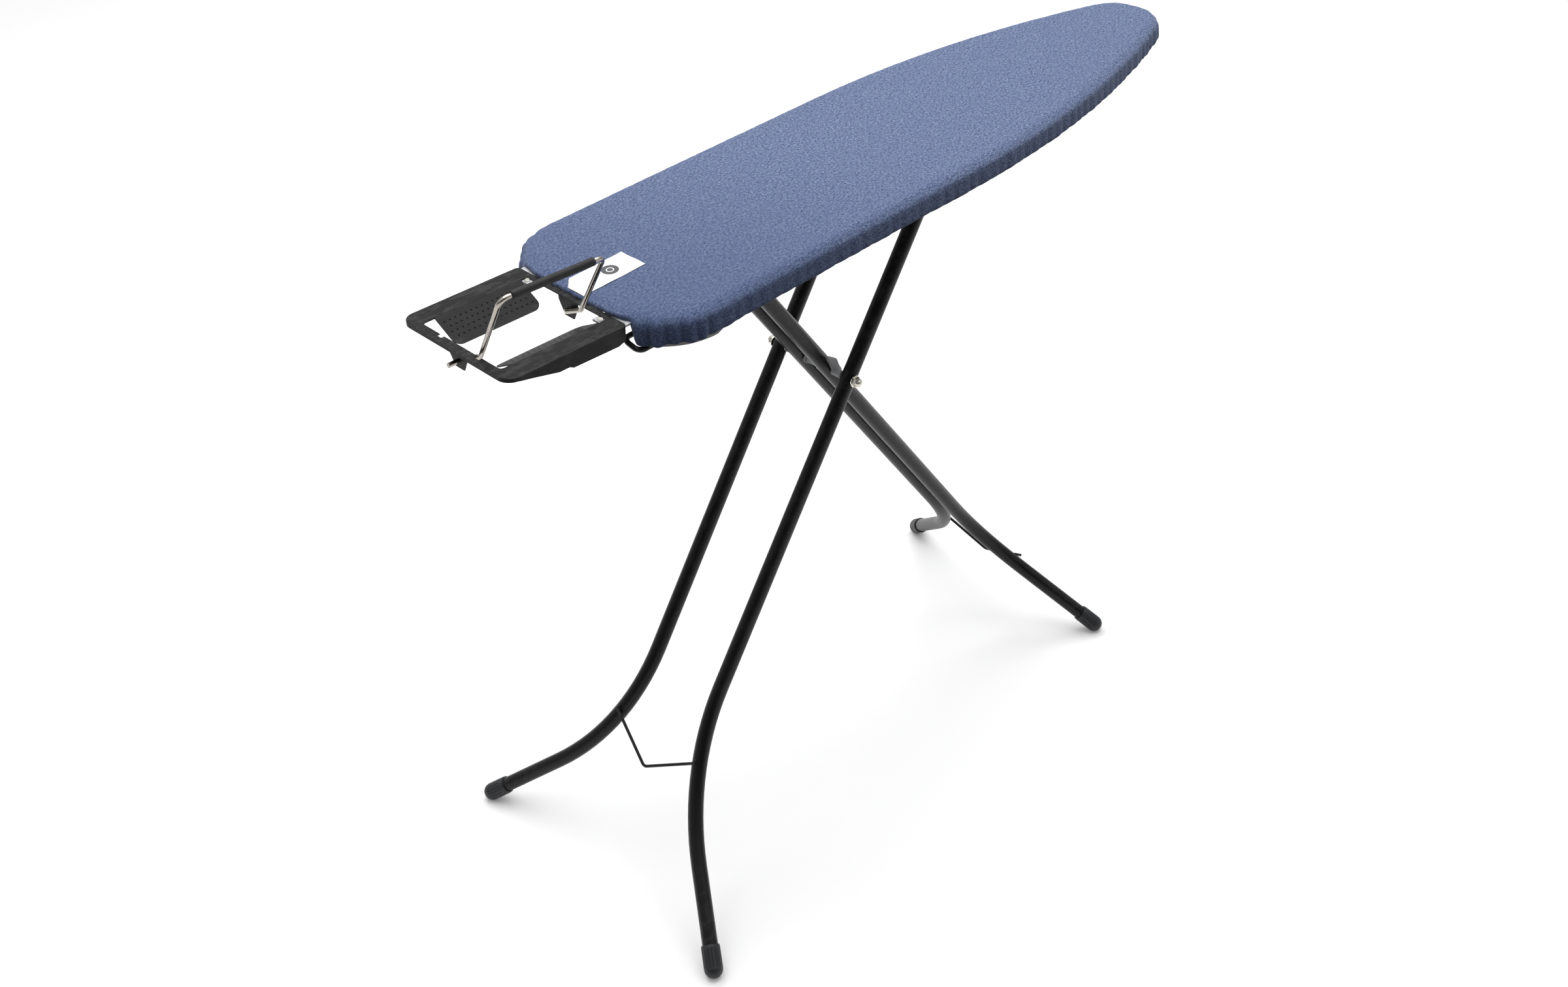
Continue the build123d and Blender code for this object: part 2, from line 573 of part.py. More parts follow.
def make_rivets():
    """Heads under both arms below the board, and one on each lug behind the tray's opening."""
    heads = []
    for side in (1, -1):
        for back in RIVET_BACKS:
            y = side * (ARM_BAR + ARM_OUTER) / 2
            heads.append(Pos(END_X + back, y, UNDER_Z - ARM_T - 0.02) * rivet_head(False))
        heads.append(tray_place(Pos(LUG_RIVET[0], side * LUG_RIVET[1], -TRAY_T) * rivet_head(True)))
    return heads


save("board_top", make_board_top())
save("board_rim", make_board_rim())
save("underlay", make_underlay())
save("cover", make_cover())
save("cover_label", make_label())
save("iron_tray", make_tray())
save("bail_bracket_front", make_bail_bracket(-629.5))
save("bail_bracket_rear", make_bail_bracket(-471.2))
save("bail_wire", make_bail_wire())
save("bail_sleeve", make_bail_sleeve())
save("hinge_axle", make_hinge_axle())
for side, word in ((1, "left"), (-1, "right")):
    save(f"tray_arm_{word}", make_tray_arm(side))
    save(f"hinge_bracket_{word}", make_hinge_bracket(side))
    save(f"slide_rail_{word}", make_rail(side))
    save(f"slide_pin_{word}", make_slide_pin(side))
for name, frame, bore in (("outer", OUTER, SLIDE_R + 0.02), ("inner", INNER, HINGE_R + RUN)):
    tube, cap = make_leg(frame, bore), make_foot_cap(frame)
    save(f"{name}_leg_left", tube)
    save(f"{name}_leg_right", mirrored(tube))
    save(f"{name}_foot_cap_left", cap)
    save(f"{name}_foot_cap_right", mirrored(cap))
    save(f"{name}_leg_brace", make_brace(frame))
spacer = make_side_spacer()
save("pivot_spacer_right", spacer)
save("pivot_spacer_left", mirrored(spacer))
save("pivot_spacer_centre", make_centre_spacer())
save("pivot_rod", make_pivot_rod())
save("pivot_washers", make_washer(1), make_washer(-1))
save("pivot_cap_nuts", make_cap_nut(1), make_cap_nut(-1))
save("slide_carriage", make_carriage())
save("height_lever", make_lever())
save("height_comb", make_comb())
save("lever_clips", *[make_clip(x) for x in CLIP_PLACES])
for index, (x, reach) in enumerate(STIFFENERS, 1):
    save(f"stiffener_{index}", make_stiffener(x, reach))
save("arm_rivets", *make_rivets())
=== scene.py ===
import json
import math

import bpy
from mathutils import Matrix, Vector, noise
from mathutils.geometry import delaunay_2d_cdt
from mathutils.kdtree import KDTree


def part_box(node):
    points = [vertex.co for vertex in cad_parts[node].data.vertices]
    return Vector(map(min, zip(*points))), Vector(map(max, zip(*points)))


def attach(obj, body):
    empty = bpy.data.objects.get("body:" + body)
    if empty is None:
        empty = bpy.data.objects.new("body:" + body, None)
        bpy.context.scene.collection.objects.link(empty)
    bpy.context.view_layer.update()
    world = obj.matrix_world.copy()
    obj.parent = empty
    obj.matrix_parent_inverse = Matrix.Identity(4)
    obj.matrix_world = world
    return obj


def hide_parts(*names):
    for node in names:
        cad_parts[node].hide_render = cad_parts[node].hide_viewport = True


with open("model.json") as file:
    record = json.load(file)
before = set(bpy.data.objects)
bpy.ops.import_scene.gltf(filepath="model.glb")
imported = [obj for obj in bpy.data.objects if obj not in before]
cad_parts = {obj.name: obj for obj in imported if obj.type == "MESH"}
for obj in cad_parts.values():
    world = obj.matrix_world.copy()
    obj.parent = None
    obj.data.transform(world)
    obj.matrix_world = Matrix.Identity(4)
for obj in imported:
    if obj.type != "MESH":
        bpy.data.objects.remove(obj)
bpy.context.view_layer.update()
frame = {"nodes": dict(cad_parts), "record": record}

MM = 0.001

# ---- what the frame gives ---------------------------------------------------------------------------
COVER_LOW, COVER_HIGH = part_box("cover")
PAD_LOW, PAD_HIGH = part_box("underlay")
LABEL_LOW, LABEL_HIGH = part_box("cover_label")
TRAY_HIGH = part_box("iron_tray")[1]
END_X, NOSE_X, HALF_WIDTH = COVER_LOW.x, COVER_HIGH.x, COVER_HIGH.y
TOP_Z, HEM_Z = COVER_HIGH.z, COVER_LOW.z
CORNER_R, NOSE_R, TAPER_X = 92 * MM, 62 * MM, 89 * MM       # the board's outline
ROLL_WIDE, ROLL_DEEP, ROLL_POWER = 20 * MM, 14 * MM, 2.4    # the rounded edge of the cover
BULGE = 2.2 * MM                                            # the gathered cloth stands out this far
HANG = 6.0 * MM                                             # and hangs this far below the CAD cover
PAD_UNDER = 2.2 * MM                                        # from the cover to the pad on that edge
# the cover's flat pattern: the board's outline, 45 mm larger all round for its edge, side and turned hem
TAG_DISC = Vector((LABEL_LOW.x + 57 * MM, LABEL_HIGH.y - 21 * MM))

# ---- camera and studio ------------------------------------------------------------------------------
CAMERA_PLACE = Vector((-1.5516, -1.4657, 2.0198))
CAMERA_YAW, CAMERA_PITCH, CAMERA_ROLL = 0.800684, 0.647737, -0.0403134
CAMERA_LENS, CAMERA_SHIFT = 41.43, (-0.0021, -0.0008)


# ==== shader helpers =================================================================================
class Shader:
    """A material under construction: one Principled BSDF and the nodes that feed it."""

    def __init__(self, name, **sockets):
        self.material = bpy.data.materials.new(name)
        self.material.use_nodes = True
        self.tree = self.material.node_tree
        self.body = self.tree.nodes["Principled BSDF"]
        for socket, value in sockets.items():
            self.body.inputs[socket.replace("_", " ")].default_value = value
        self.place = self.node("ShaderNodeTexCoord").outputs["Object"]

    def node(self, kind, inputs=None, **settings):
        made = self.tree.nodes.new(kind)
        for key, value in settings.items():
            setattr(made, key, value)
        for key, value in (inputs or {}).items():
            if hasattr(value, "is_linked"):
                self.tree.links.new(value, made.inputs[key])
            else:
                made.inputs[key].default_value = value
        return made

    def link(self, output, socket):
        self.tree.links.new(output, self.body.inputs[socket])

    def stretched(self, scale, place=None):
        """The place with each axis scaled, for streaks and threads."""
        inputs = {0: place or self.place, 1: scale}
        return self.node("ShaderNodeVectorMath", inputs, operation="MULTIPLY").outputs[0]

    def noise(self, size, detail=3.0, rough=0.55, place=None):
        """Noise whose features are about size metres across, 0 to 1."""
        inputs = {"Vector": place or self.place, "Scale": 1 / size, "Detail": detail, "Roughness": rough}
        return self.node("ShaderNodeTexNoise", inputs).outputs["Fac"]

    def math(self, operation, a, b=0.5, c=0.5):
        return self.node("ShaderNodeMath", {0: a, 1: b, 2: c}, operation=operation).outputs[0]

    def between(self, value, low, high, out_low=0.0, out_high=1.0):
        inputs = {"Value": value, "From Min": low, "From Max": high, "To Min": out_low, "To Max": out_high}
        return self.node("ShaderNodeMapRange", inputs, interpolation_type="SMOOTHSTEP").outputs["Result"]

    def mix(self, amount, a, b, blend="MIX"):
        made = self.node("ShaderNodeMix", data_type="RGBA", blend_type=blend)
        for index, value in ((0, amount), (6, a), (7, b)):
            if hasattr(value, "is_linked"):
                self.tree.links.new(value, made.inputs[index])
            elif index:
                made.inputs[index].default_value = (*value, 1)
            else:
                made.inputs[index].default_value = value
        return made.outputs[2]

    def bump(self, height, distance, strength=1.0, under=None):
        inputs = {"Height": height, "Distance": distance, "Strength": strength}
        if under is not None:
            inputs["Normal"] = under
        return self.node("ShaderNodeBump", inputs).outputs["Normal"]

    def finish(self, colour=None, rough=None, normal=None):
        for output, socket in ((colour, "Base Color"), (rough, "Roughness"), (normal, "Normal")):
            if output is not None:
                self.link(output, socket)
        return self.material


# ==== materials ======================================================================================
def denim(name="denim_melange"):
    """Blue melange cloth: fine twill threads, light and dark fibres, faint cloudy patches, and painted shade
    that darkens it towards the square end and the near side.
    """
    s = Shader(name, Sheen_Weight=0.27, Sheen_Roughness=0.5, Specular_IOR_Level=0.14)
    s.body.inputs["Sheen Tint"].default_value = (0.72, 0.80, 1.0, 1)
    cloth = s.node("ShaderNodeUVMap", uv_map="cloth").outputs["UV"]
    fibres = s.noise(4.6 * MM, 3.0, 0.8, s.stretched((1.0, 2.4, 1.0), cloth))
    cross_fibres = s.noise(4.0 * MM, 3.0, 0.8, s.stretched((2.2, 1.0, 1.0), cloth))
    flecks = s.noise(3.2 * MM, 3.0, 0.75, s.stretched((1.0, 1.5, 1.0), cloth))
    slubs = s.noise(9 * MM, 2.0, 0.6, s.stretched((0.7, 3.5, 1.0), cloth))
    clouds = s.noise(38 * MM, 4.0, 0.6, cloth)
    tone = s.math("ADD", s.math("MULTIPLY", fibres, 0.5), s.math("MULTIPLY", cross_fibres, 0.5))
    colour = s.mix(s.between(tone, 0.43, 0.57), (0.026, 0.040, 0.100), (0.178, 0.228, 0.375))
    colour = s.mix(s.between(flecks, 0.55, 0.68, 0.0, 0.80), colour, (0.38, 0.45, 0.60))
    colour = s.mix(s.between(flecks, 0.46, 0.34, 0.0, 0.80), colour, (0.026, 0.040, 0.094))
    colour = s.mix(s.between(slubs, 0.52, 0.70, 0.0, 0.40), colour, (0.235, 0.285, 0.42))
    colour = s.mix(s.between(clouds, 0.30, 0.72, 0.0, 0.25), colour, (0.082, 0.114, 0.218))
    split = s.node("ShaderNodeSeparateXYZ", {0: cloth})
    twill = s.math("ADD", s.math("MULTIPLY", split.outputs[0], 2 * math.pi / (1.25 * MM)),
                   s.math("MULTIPLY", split.outputs[1], 2 * math.pi / (0.95 * MM)))
    rib = s.math("SINE", twill)
    thread = s.math("SINE", s.math("MULTIPLY", split.outputs[1], 2 * math.pi / (0.55 * MM)))
    weave = s.math("MULTIPLY_ADD", thread, 0.3, rib)
    colour = s.mix(s.between(rib, -1.0, 1.0, 0.0, 0.24), colour, (0.042, 0.058, 0.120))
    # painted shade: a slope across the flat pattern that darkens the cloth towards the square end and the
    # near side
    painted_shade_slope = s.math("MULTIPLY_ADD", split.outputs[1], 0.35, s.math("MULTIPLY", split.outputs[0], 0.5))
    colour = s.mix(s.between(painted_shade_slope, 0.03, -0.27, 0.0, 0.42), colour, (0.030, 0.050, 0.122))
    relief = s.bump(weave, 0.10 * MM, 0.5)
    relief = s.bump(tone, 0.5 * MM, 0.45, relief)
    return s.finish(colour, s.between(fibres, 0.2, 0.8, 0.78, 0.94), relief)


def hem_cloth():
    """The same cloth in a separate, slightly darker mix for the elastic casing, with close ruches; the
    hollows of their creases are darkened as painted shade.
    """
    s = Shader("hem_cloth", Sheen_Weight=0.3, Sheen_Roughness=0.5, Specular_IOR_Level=0.15)
    fibres = s.noise(1.8 * MM, 3.0, 0.7)
    crease_relief_and_shade = s.noise(5.5 * MM, 2.0, 0.6, s.stretched((1.0, 1.0, 0.3)))
    colour = s.mix(s.between(fibres, 0.34, 0.66), (0.050, 0.068, 0.135), (0.140, 0.180, 0.300))
    # painted shade: the hollows of the creases are darkened
    colour = s.mix(s.between(crease_relief_and_shade, 0.45, 0.25, 0.0, 0.6), colour, (0.018, 0.027, 0.062))
    relief = s.bump(crease_relief_and_shade, 0.9 * MM, 0.6, s.bump(fibres, 0.25 * MM, 0.5))
    return s.finish(colour, s.between(fibres, 0.2, 0.8, 0.80, 0.95), relief)


def felt():
    """Pressed pale felt with loose fibres and the odd darker fleck."""
    s = Shader("pale_felt", Sheen_Weight=0.25, Sheen_Roughness=0.6, Specular_IOR_Level=0.1)
    fibres = s.noise(1.4 * MM, 4.0, 0.8, s.stretched((1.0, 2.5, 1.5)))
    tufts = s.noise(7 * MM, 3.0, 0.6)
    flecks = s.noise(1.0 * MM, 1.0)
    colour = s.mix(s.between(fibres, 0.3, 0.7), (0.62, 0.61, 0.57), (0.85, 0.84, 0.80))
    colour = s.mix(s.between(tufts, 0.3, 0.7, 0.0, 0.25), colour, (0.70, 0.69, 0.64))
    colour = s.mix(s.between(flecks, 0.70, 0.80, 0.0, 0.5), colour, (0.40, 0.42, 0.46))
    relief = s.bump(tufts, 0.8 * MM, 0.5, s.bump(fibres, 0.4 * MM, 0.6))
    return s.finish(colour, s.between(fibres, 0.2, 0.8, 0.85, 0.97), relief)


def printed_tag():
    """White satin tape with a dark disc that holds a pale ring, and a few short grey bars."""
    s = Shader("printed_tag", Specular_IOR_Level=0.3, Sheen_Weight=0.1)
    split = s.node("ShaderNodeSeparateXYZ", {0: s.place})
    x, y = split.outputs[0], split.outputs[1]
    dx, dy = s.math("SUBTRACT", x, TAG_DISC.x), s.math("SUBTRACT", y, TAG_DISC.y)
    away = s.math("SQRT", s.math("MULTIPLY_ADD", dx, dx, s.math("MULTIPLY", dy, dy)))
    disc = s.between(away, 11.0 * MM, 10.6 * MM)
    ring = s.math("MULTIPLY", s.between(away, 3.7 * MM, 3.9 * MM), s.between(away, 5.0 * MM, 4.8 * MM))
    ink = s.math("MULTIPLY", disc, s.math("SUBTRACT", 1.0, ring))
    stripe = s.math("FRACT", s.math("DIVIDE", s.math("SUBTRACT", x, LABEL_LOW.x), 3.6 * MM))
    block = s.math("MULTIPLY", s.math("GREATER_THAN", x, LABEL_LOW.x + 5 * MM),
                   s.math("LESS_THAN", x, LABEL_LOW.x + 24 * MM))
    line = s.math("COMPARE", x, TAG_DISC.x + 15 * MM, 1.3 * MM)
    ragged = s.noise(9 * MM, 1.0, 0.5, s.stretched((1.0, 0.05, 1.0)))
    reach = s.math("MULTIPLY_ADD", ragged, 18 * MM, LABEL_LOW.y + 20 * MM)
    past_margin = s.math("GREATER_THAN", y, LABEL_LOW.y + 7 * MM)
    printed = s.math("MULTIPLY", s.math("LESS_THAN", y, reach), past_margin)
    rows = s.math("MAXIMUM", s.math("MULTIPLY", s.between(stripe, 0.50, 0.56), block), line)
    bars = s.math("MULTIPLY", rows, printed)
    threads = s.node("ShaderNodeTexWave", {"Vector": s.place, "Scale": 1 / (6.2 * MM), "Distortion": 0.4},
                     bands_direction="Y").outputs["Fac"]
    grain = s.noise(1.2 * MM, 2.0)
    colour = s.mix(s.between(grain, 0.3, 0.7), (0.78, 0.78, 0.77), (0.88, 0.88, 0.875))
    colour = s.mix(s.math("MULTIPLY", bars, 0.5), colour, (0.42, 0.43, 0.46))
    colour = s.mix(s.math("MULTIPLY", ink, 0.96), colour, (0.035, 0.036, 0.040))
    relief = s.bump(threads, 0.05 * MM, 0.4, s.bump(grain, 0.1 * MM, 0.3))
    return s.finish(colour, s.between(grain, 0.2, 0.8, 0.45, 0.62), relief)


def powder_coat(name, dark, light, rough, speck=0.5, peel=0.04, shine=0.5):
    """Stoved powder paint: orange peel, faint speckle, dust in places and rubbed edges."""
    s = Shader(name, Specular_IOR_Level=shine)
    grain = s.noise(0.9 * MM, 2.0, 0.7)
    skin = s.noise(2.4 * MM, 1.0, 0.4)
    patches = s.noise(60 * MM, 4.0, 0.6)
    scuffs = s.noise(14 * MM, 6.0, 0.75, s.stretched((0.6, 1.8, 1.2)))
    colour = s.mix(s.between(grain, 0.35, 0.70, 0.0, speck), dark, light)
    colour = s.mix(s.between(patches, 0.35, 0.75, 0.0, 0.20), colour, light)
    edge = s.node("ShaderNodeNewGeometry").outputs["Pointiness"]
    worn = s.math("MULTIPLY", s.between(edge, 0.53, 0.60), s.between(scuffs, 0.45, 0.60))
    colour = s.mix(s.math("MULTIPLY", worn, 0.45), colour, tuple(min(1.0, 2.6 * c + 0.03) for c in light))
    gloss = s.math("MULTIPLY_ADD", s.between(scuffs, 0.45, 0.75), 0.03, rough - 0.03)
    gloss = s.math("MULTIPLY_ADD", patches, 0.03, gloss)
    relief = s.bump(skin, peel * MM, 0.5, s.bump(grain, 0.6 * peel * MM, 0.5))
    return s.finish(colour, gloss, relief)


def plated(name, colour_a, colour_b, rough, streak=(1.0, 12.0, 12.0), relief_depth=0.05):
    """Bright plate with fine drawing lines, a faint bloom and tiny pits."""
    s = Shader(name, Metallic=1.0)
    lines = s.noise(5 * MM, 3.0, 0.7, s.stretched(streak))
    bloom = s.noise(18 * MM, 3.0, 0.6)
    pits = s.noise(0.8 * MM, 1.0)
    colour = s.mix(s.between(bloom, 0.3, 0.7), colour_a, colour_b)
    colour = s.mix(s.between(pits, 0.68, 0.78, 0.0, 0.35), colour, tuple(0.5 * c for c in colour_b))
    gloss = s.between(lines, 0.3, 0.75, rough, rough + 0.16)
    relief = s.bump(lines, relief_depth * MM, 0.35, s.bump(bloom, 2 * relief_depth * MM, 0.2))
    return s.finish(colour, gloss, relief)


def moulded(name, dark, light, rough, grain_size=0.7 * MM, glow=0.0):
    """Moulded plastic or rubber: spark-eroded grain, flow marks and slight polish on the high spots."""
    s = Shader(name, Specular_IOR_Level=0.45, Subsurface_Weight=glow, Subsurface_Scale=0.003)
    grain = s.noise(grain_size, 2.0, 0.7)
    flow = s.noise(22 * MM, 3.0, 0.6, s.stretched((1.0, 1.0, 0.35)))
    dust = s.noise(9 * MM, 5.0, 0.7)
    colour = s.mix(s.between(flow, 0.3, 0.7), dark, light)
    dusty = tuple(min(1.0, 1.7 * c + 0.03) for c in light)
    colour = s.mix(s.between(dust, 0.55, 0.78, 0.0, 0.18), colour, dusty)
    gloss = s.math("MULTIPLY_ADD", grain, 0.16, s.between(dust, 0.4, 0.7, rough - 0.06, rough + 0.05))
    return s.finish(colour, gloss, s.bump(grain, 0.12 * MM, 0.55, s.bump(flow, 0.3 * MM, 0.2)))


def materials():
    return {
        "board_steel": powder_coat("grey_powder_coat", (0.40, 0.41, 0.43), (0.52, 0.53, 0.55), 0.42, 0.35),
        "leg_black": powder_coat("satin_black_coat", (0.0035, 0.0035, 0.0038), (0.0070, 0.0070, 0.0075),
                                 0.36, 0.5, shine=0.26),
        "tray_black": powder_coat("charcoal_coat", (0.0040, 0.0040, 0.0043), (0.0082, 0.0082, 0.0086),
                                  0.46, 0.35, peel=0.03, shine=0.15),
        "chrome": plated("nickel_plate", (0.44, 0.41, 0.37), (0.36, 0.335, 0.30), 0.10,
                         streak=(0.4, 3.0, 3.0), relief_depth=0.012),
        "zinc": plated("zinc_plate", (0.78, 0.76, 0.70), (0.66, 0.63, 0.55), 0.20),
        "sleeve_black": moulded("matt_sleeve", (0.0040, 0.0040, 0.0044), (0.0080, 0.0080, 0.0085), 0.62),
        "grey_plastic": moulded("grey_nylon", (0.60, 0.61, 0.625), (0.72, 0.73, 0.74), 0.46, glow=0.08),
        "foot_plastic": moulded("charcoal_plastic", (0.012, 0.013, 0.016), (0.022, 0.024, 0.029), 0.44),
        "cover_fabric": denim(), "felt": felt(), "tag_fabric": printed_tag(), "hem": hem_cloth(),
    }


# ==== the board's outline ============================================================================
class Outline:
    """The board's edge, run anticlockwise from the middle of the square end, with its outward normal."""

    def __init__(self):
        reach, gap = NOSE_X - NOSE_R - TAPER_X, HALF_WIDTH - NOSE_R
        taper_r = (reach**2 / gap + HALF_WIDTH + NOSE_R) / 2
        lean = math.atan2(reach, taper_r - HALF_WIDTH)
        square = HALF_WIDTH - CORNER_R
        low, right = -math.pi / 2, 0.0
        near = [
            ("line", Vector((END_X, 0)), Vector((END_X, -square))),
            ("arc", Vector((END_X + CORNER_R, -square)), CORNER_R, -math.pi, low),
            ("line", Vector((END_X + CORNER_R, -HALF_WIDTH)), Vector((TAPER_X, -HALF_WIDTH))),
            ("arc", Vector((TAPER_X, taper_r - HALF_WIDTH)), taper_r, low, low + lean),
            ("arc", Vector((NOSE_X - NOSE_R, 0)), NOSE_R, low + lean, right),
        ]
        self.runs = near
        self.half = sum(self.run_length(r) for r in near)
        self.length = 2 * self.half

    @staticmethod
    def run_length(run):
        return (run[2] - run[1]).length if run[0] == "line" else run[2] * (run[4] - run[3])

    def at(self, s):
        """The point and the outward normal at distance s along the edge."""
        s %= self.length
        far = s > self.half
        left = self.length - s if far else s
        for run in self.runs:
            size = self.run_length(run)
            if left <= size or run is self.runs[-1]:
                break
            left -= size
        if run[0] == "line":
            way = (run[2] - run[1]).normalized()
            point, normal = run[1] + way * left, Vector((way.y, -way.x))
        else:
            angle = run[3] + left / run[2]
            normal = Vector((math.cos(angle), math.sin(angle)))
            point = run[1] + normal * run[2]
        if far:
            point, normal = Vector((point.x, -point.y)), Vector((normal.x, -normal.y))
        return point, normal


EDGE = Outline()


def smooth(value, low, high):
    t = max(0.0, min(1.0, (value - low) / (high - low)))
    return t * t * (3 - 2 * t)


def wander(s, size, seed):
    """Smooth noise along the edge, -1 to 1, that closes on itself."""
    angle = 2 * math.pi * s / EDGE.length
    radius = EDGE.length / (2 * math.pi * size)
    return noise.noise(Vector((radius * math.cos(angle), radius * math.sin(angle), seed)))


def behind_tray(point):
    """1 where the tray closes the square end and the cloth stops short above it, 0 elsewhere."""
    if point.x > END_X + 60 * MM:
        return 0.0
    return smooth(abs(point.y), TRAY_HIGH.y - 0.6 * MM, TRAY_HIGH.y - 4.6 * MM)


def tightness(point):
    """How strongly the elastic gathers the hem: most round the corners and the nose."""
    corner = smooth(point.x, END_X + 120 * MM, END_X + 40 * MM)
    nose = smooth(point.x, NOSE_X - 260 * MM, NOSE_X - 60 * MM)
    return max(corner, 0.45 * nose, 0.22)


def pleats(s):
    """Gathers at distance s along the edge: close, sharp creases, -1 to 1, and broad folds, 0 to 1."""
    phase = math.pi * s / (19 * MM) + 1.6 * wander(s, 46 * MM, 1.7)
    return 2 * abs(math.sin(phase)) ** 0.7 - 1, abs(math.sin(0.37 * phase + 0.6)) ** 2


def hem_height(s, point):
    """The cloth's lowest edge: a little uneven, and stopping just above the tray behind it."""
    uneven = 1.2 * MM * wander(s, 30 * MM, 3.1) + 1.3 * MM * wander(s, 75 * MM, 8.4)
    pleat, fold = pleats(s)
    scallop = (1.0 * MM * pleat + 3.4 * MM * (fold - 0.5)) * tightness(point) ** 2
    low = HEM_Z - HANG + uneven * (0.35 + 1.2 * tightness(point)) - scallop
    above_tray = PAD_LOW.z - (1.05 + 1.3 * smooth(abs(point.y), 56 * MM, 50 * MM)) * MM
    return low + (above_tray - low) * behind_tray(point)


def turned_in(point):
    """Width of cloth turned under the board; hardly any at the square end."""
    return (1.6 + 13.4 * smooth(point.x, END_X + 62 * MM, END_X + 125 * MM)) * MM


def roll(wide, deep, steps):
    """The rounded edge from the side up to the top: (distance in, height, how far up it is)."""
    made = []
    for step in range(steps + 1):
        angle = 0.5 * math.pi * step / steps
        across = max(0.0, math.cos(angle)) ** (2 / ROLL_POWER)
        made.append((wide * (1 - across), deep * math.sin(angle) ** (2 / ROLL_POWER), step / steps))
    return made


def cloth_profile(hem, turn):
    """Points across the edge, from the inner edge of the hem up to the flat top: (inset, height, free)."""
    deep = min(ROLL_DEEP, 0.8 * (TOP_Z - hem))
    side = TOP_Z - deep - hem
    rows = [(turn, 2.0 * MM, 0.0), (0.62 * turn, 0.5 * MM, 0.5), (0.28 * turn + 0.5 * MM, 0.0, 0.9),
            (0.9 * MM, 0.09 * side, 1.0), (0.2 * MM, 0.3 * side, 1.0), (0.0, 0.62 * side, 0.95)]
    made = [(inset, hem + up, free) for inset, up, free in rows]
    made += [(inset, TOP_Z - deep + up, 0.85 * (1 - done) ** 1.2)
             for inset, up, done in roll(ROLL_WIDE, deep, 9)]
    made.append((ROLL_WIDE + 7 * MM, TOP_Z, 0.0))
    return made


def gather(s, point):
    """Outward swing of the cloth at its hem: uneven pleats, deeper where the elastic bites."""
    pleat, fold = pleats(s)
    strong = tightness(point) * (1 - 0.85 * behind_tray(point))
    return BULGE * (1 - behind_tray(point)) + (0.3 + (4.0 * pleat + 2.6 * fold) * strong) * MM


def ring_points(count):
    return [(EDGE.length * i / count, *EDGE.at(EDGE.length * i / count)) for i in range(count)]


def add_object(name, verts, faces, material):
    mesh = bpy.data.meshes.new(name)
    mesh.from_pydata(verts, [], faces)
    mesh.materials.append(material)
    mesh.shade_smooth()
    made = bpy.data.objects.new(name, mesh)
    bpy.context.scene.collection.objects.link(made)
    return made


def strips(rings, count, start=0):
    """Quads between rings of count points each."""
    faces = []
    for row in range(rings - 1):
        for i in range(count):
            j = (i + 1) % count
            a, b = start + row * count, start + (row + 1) * count
            faces.append((a + i, a + j, b + j, b + i))
    return faces


def fill_inside(border, pitch, margin):
    """Points inside a closed border and triangles over it; the border's points come first."""
    tree = KDTree(len(border))
    for index, p in enumerate(border):
        tree.insert((p.x, p.y, 0), index)
    tree.balance()
    xs, ys = [p.x for p in border], [p.y for p in border]
    inner = []
    row_pitch = pitch * 0.866       # rows of equal triangles
    rows = int((max(ys) - min(ys)) / row_pitch) + 2
    columns = int((max(xs) - min(xs)) / pitch) + 2
    centre_y = (max(ys) + min(ys)) / 2
    for row in range(-rows // 2, rows // 2 + 1):
        for column in range(columns):
            p = Vector((min(xs) + pitch * (column + 0.5 * (row % 2)), centre_y + row * row_pitch, 0))
            _, index, gap = tree.find(p)
            before, after = border[index - 1], border[(index + 1) % len(border)]
            along = after - before
            inside = along.x * (p.y - before.y) - along.y * (p.x - before.x) > 0
            if inside and gap > margin:
                inner.append(Vector((p.x, p.y)))
    points = [Vector((p.x, p.y)) for p in border] + inner
    edges = [(i, (i + 1) % len(border)) for i in range(len(border))]
    _, _, faces, origin, _, _ = delaunay_2d_cdt(points, edges, [], 1, 1e-7)
    name = [o[0] for o in origin]
    return points, [tuple(name[v] for v in face) for face in faces]


# ==== cloth ==========================================================================================
def coordinates(mesh):
    return [v.co.copy() for v in mesh.vertices]


def settle(piece, held, loose, pressure, growth, cap):
    """Runs the cloth for 20 frames under pressure; no point ends further than its cap from its start."""
    start = coordinates(piece.data)
    pin = piece.vertex_groups.new(name="held")
    grow = piece.vertex_groups.new(name="loose")
    for index in range(len(start)):
        if held[index] > 0:
            pin.add([index], held[index], "REPLACE")
        if loose[index] > 0:
            grow.add([index], loose[index], "REPLACE")
    cloth = piece.modifiers.new("Cloth", "CLOTH")
    s = cloth.settings
    s.quality, s.mass, s.air_damping = 6, 0.3, 2.0
    s.tension_stiffness = s.compression_stiffness = 18
    s.shear_stiffness, s.bending_stiffness = 6, 0.35
    s.use_pressure, s.uniform_pressure_force = True, pressure
    s.effector_weights.gravity = 0
    s.vertex_group_mass, s.pin_stiffness = "held", 1.0
    s.vertex_group_shrink, s.shrink_min, s.shrink_max = "loose", 0.0, -growth
    cloth.point_cache.frame_end = 20
    scene = bpy.context.scene
    for step in range(1, 21):
        scene.frame_set(step)
    moved = piece.evaluated_get(bpy.context.evaluated_depsgraph_get()).to_mesh()
    outward = [v.normal.copy() for v in piece.data.vertices]
    for vertex, old, new, limit, normal in zip(piece.data.vertices, start, coordinates(moved), cap, outward):
        shift = new - old
        sunk = shift.dot(normal) + 0.2 * MM
        if sunk < 0:
            shift -= sunk * normal
        if shift.length > limit:
            shift *= limit / shift.length
        vertex.co = old + shift
    piece.modifiers.remove(cloth)
    scene.frame_set(1)
    piece.vertex_groups.clear()


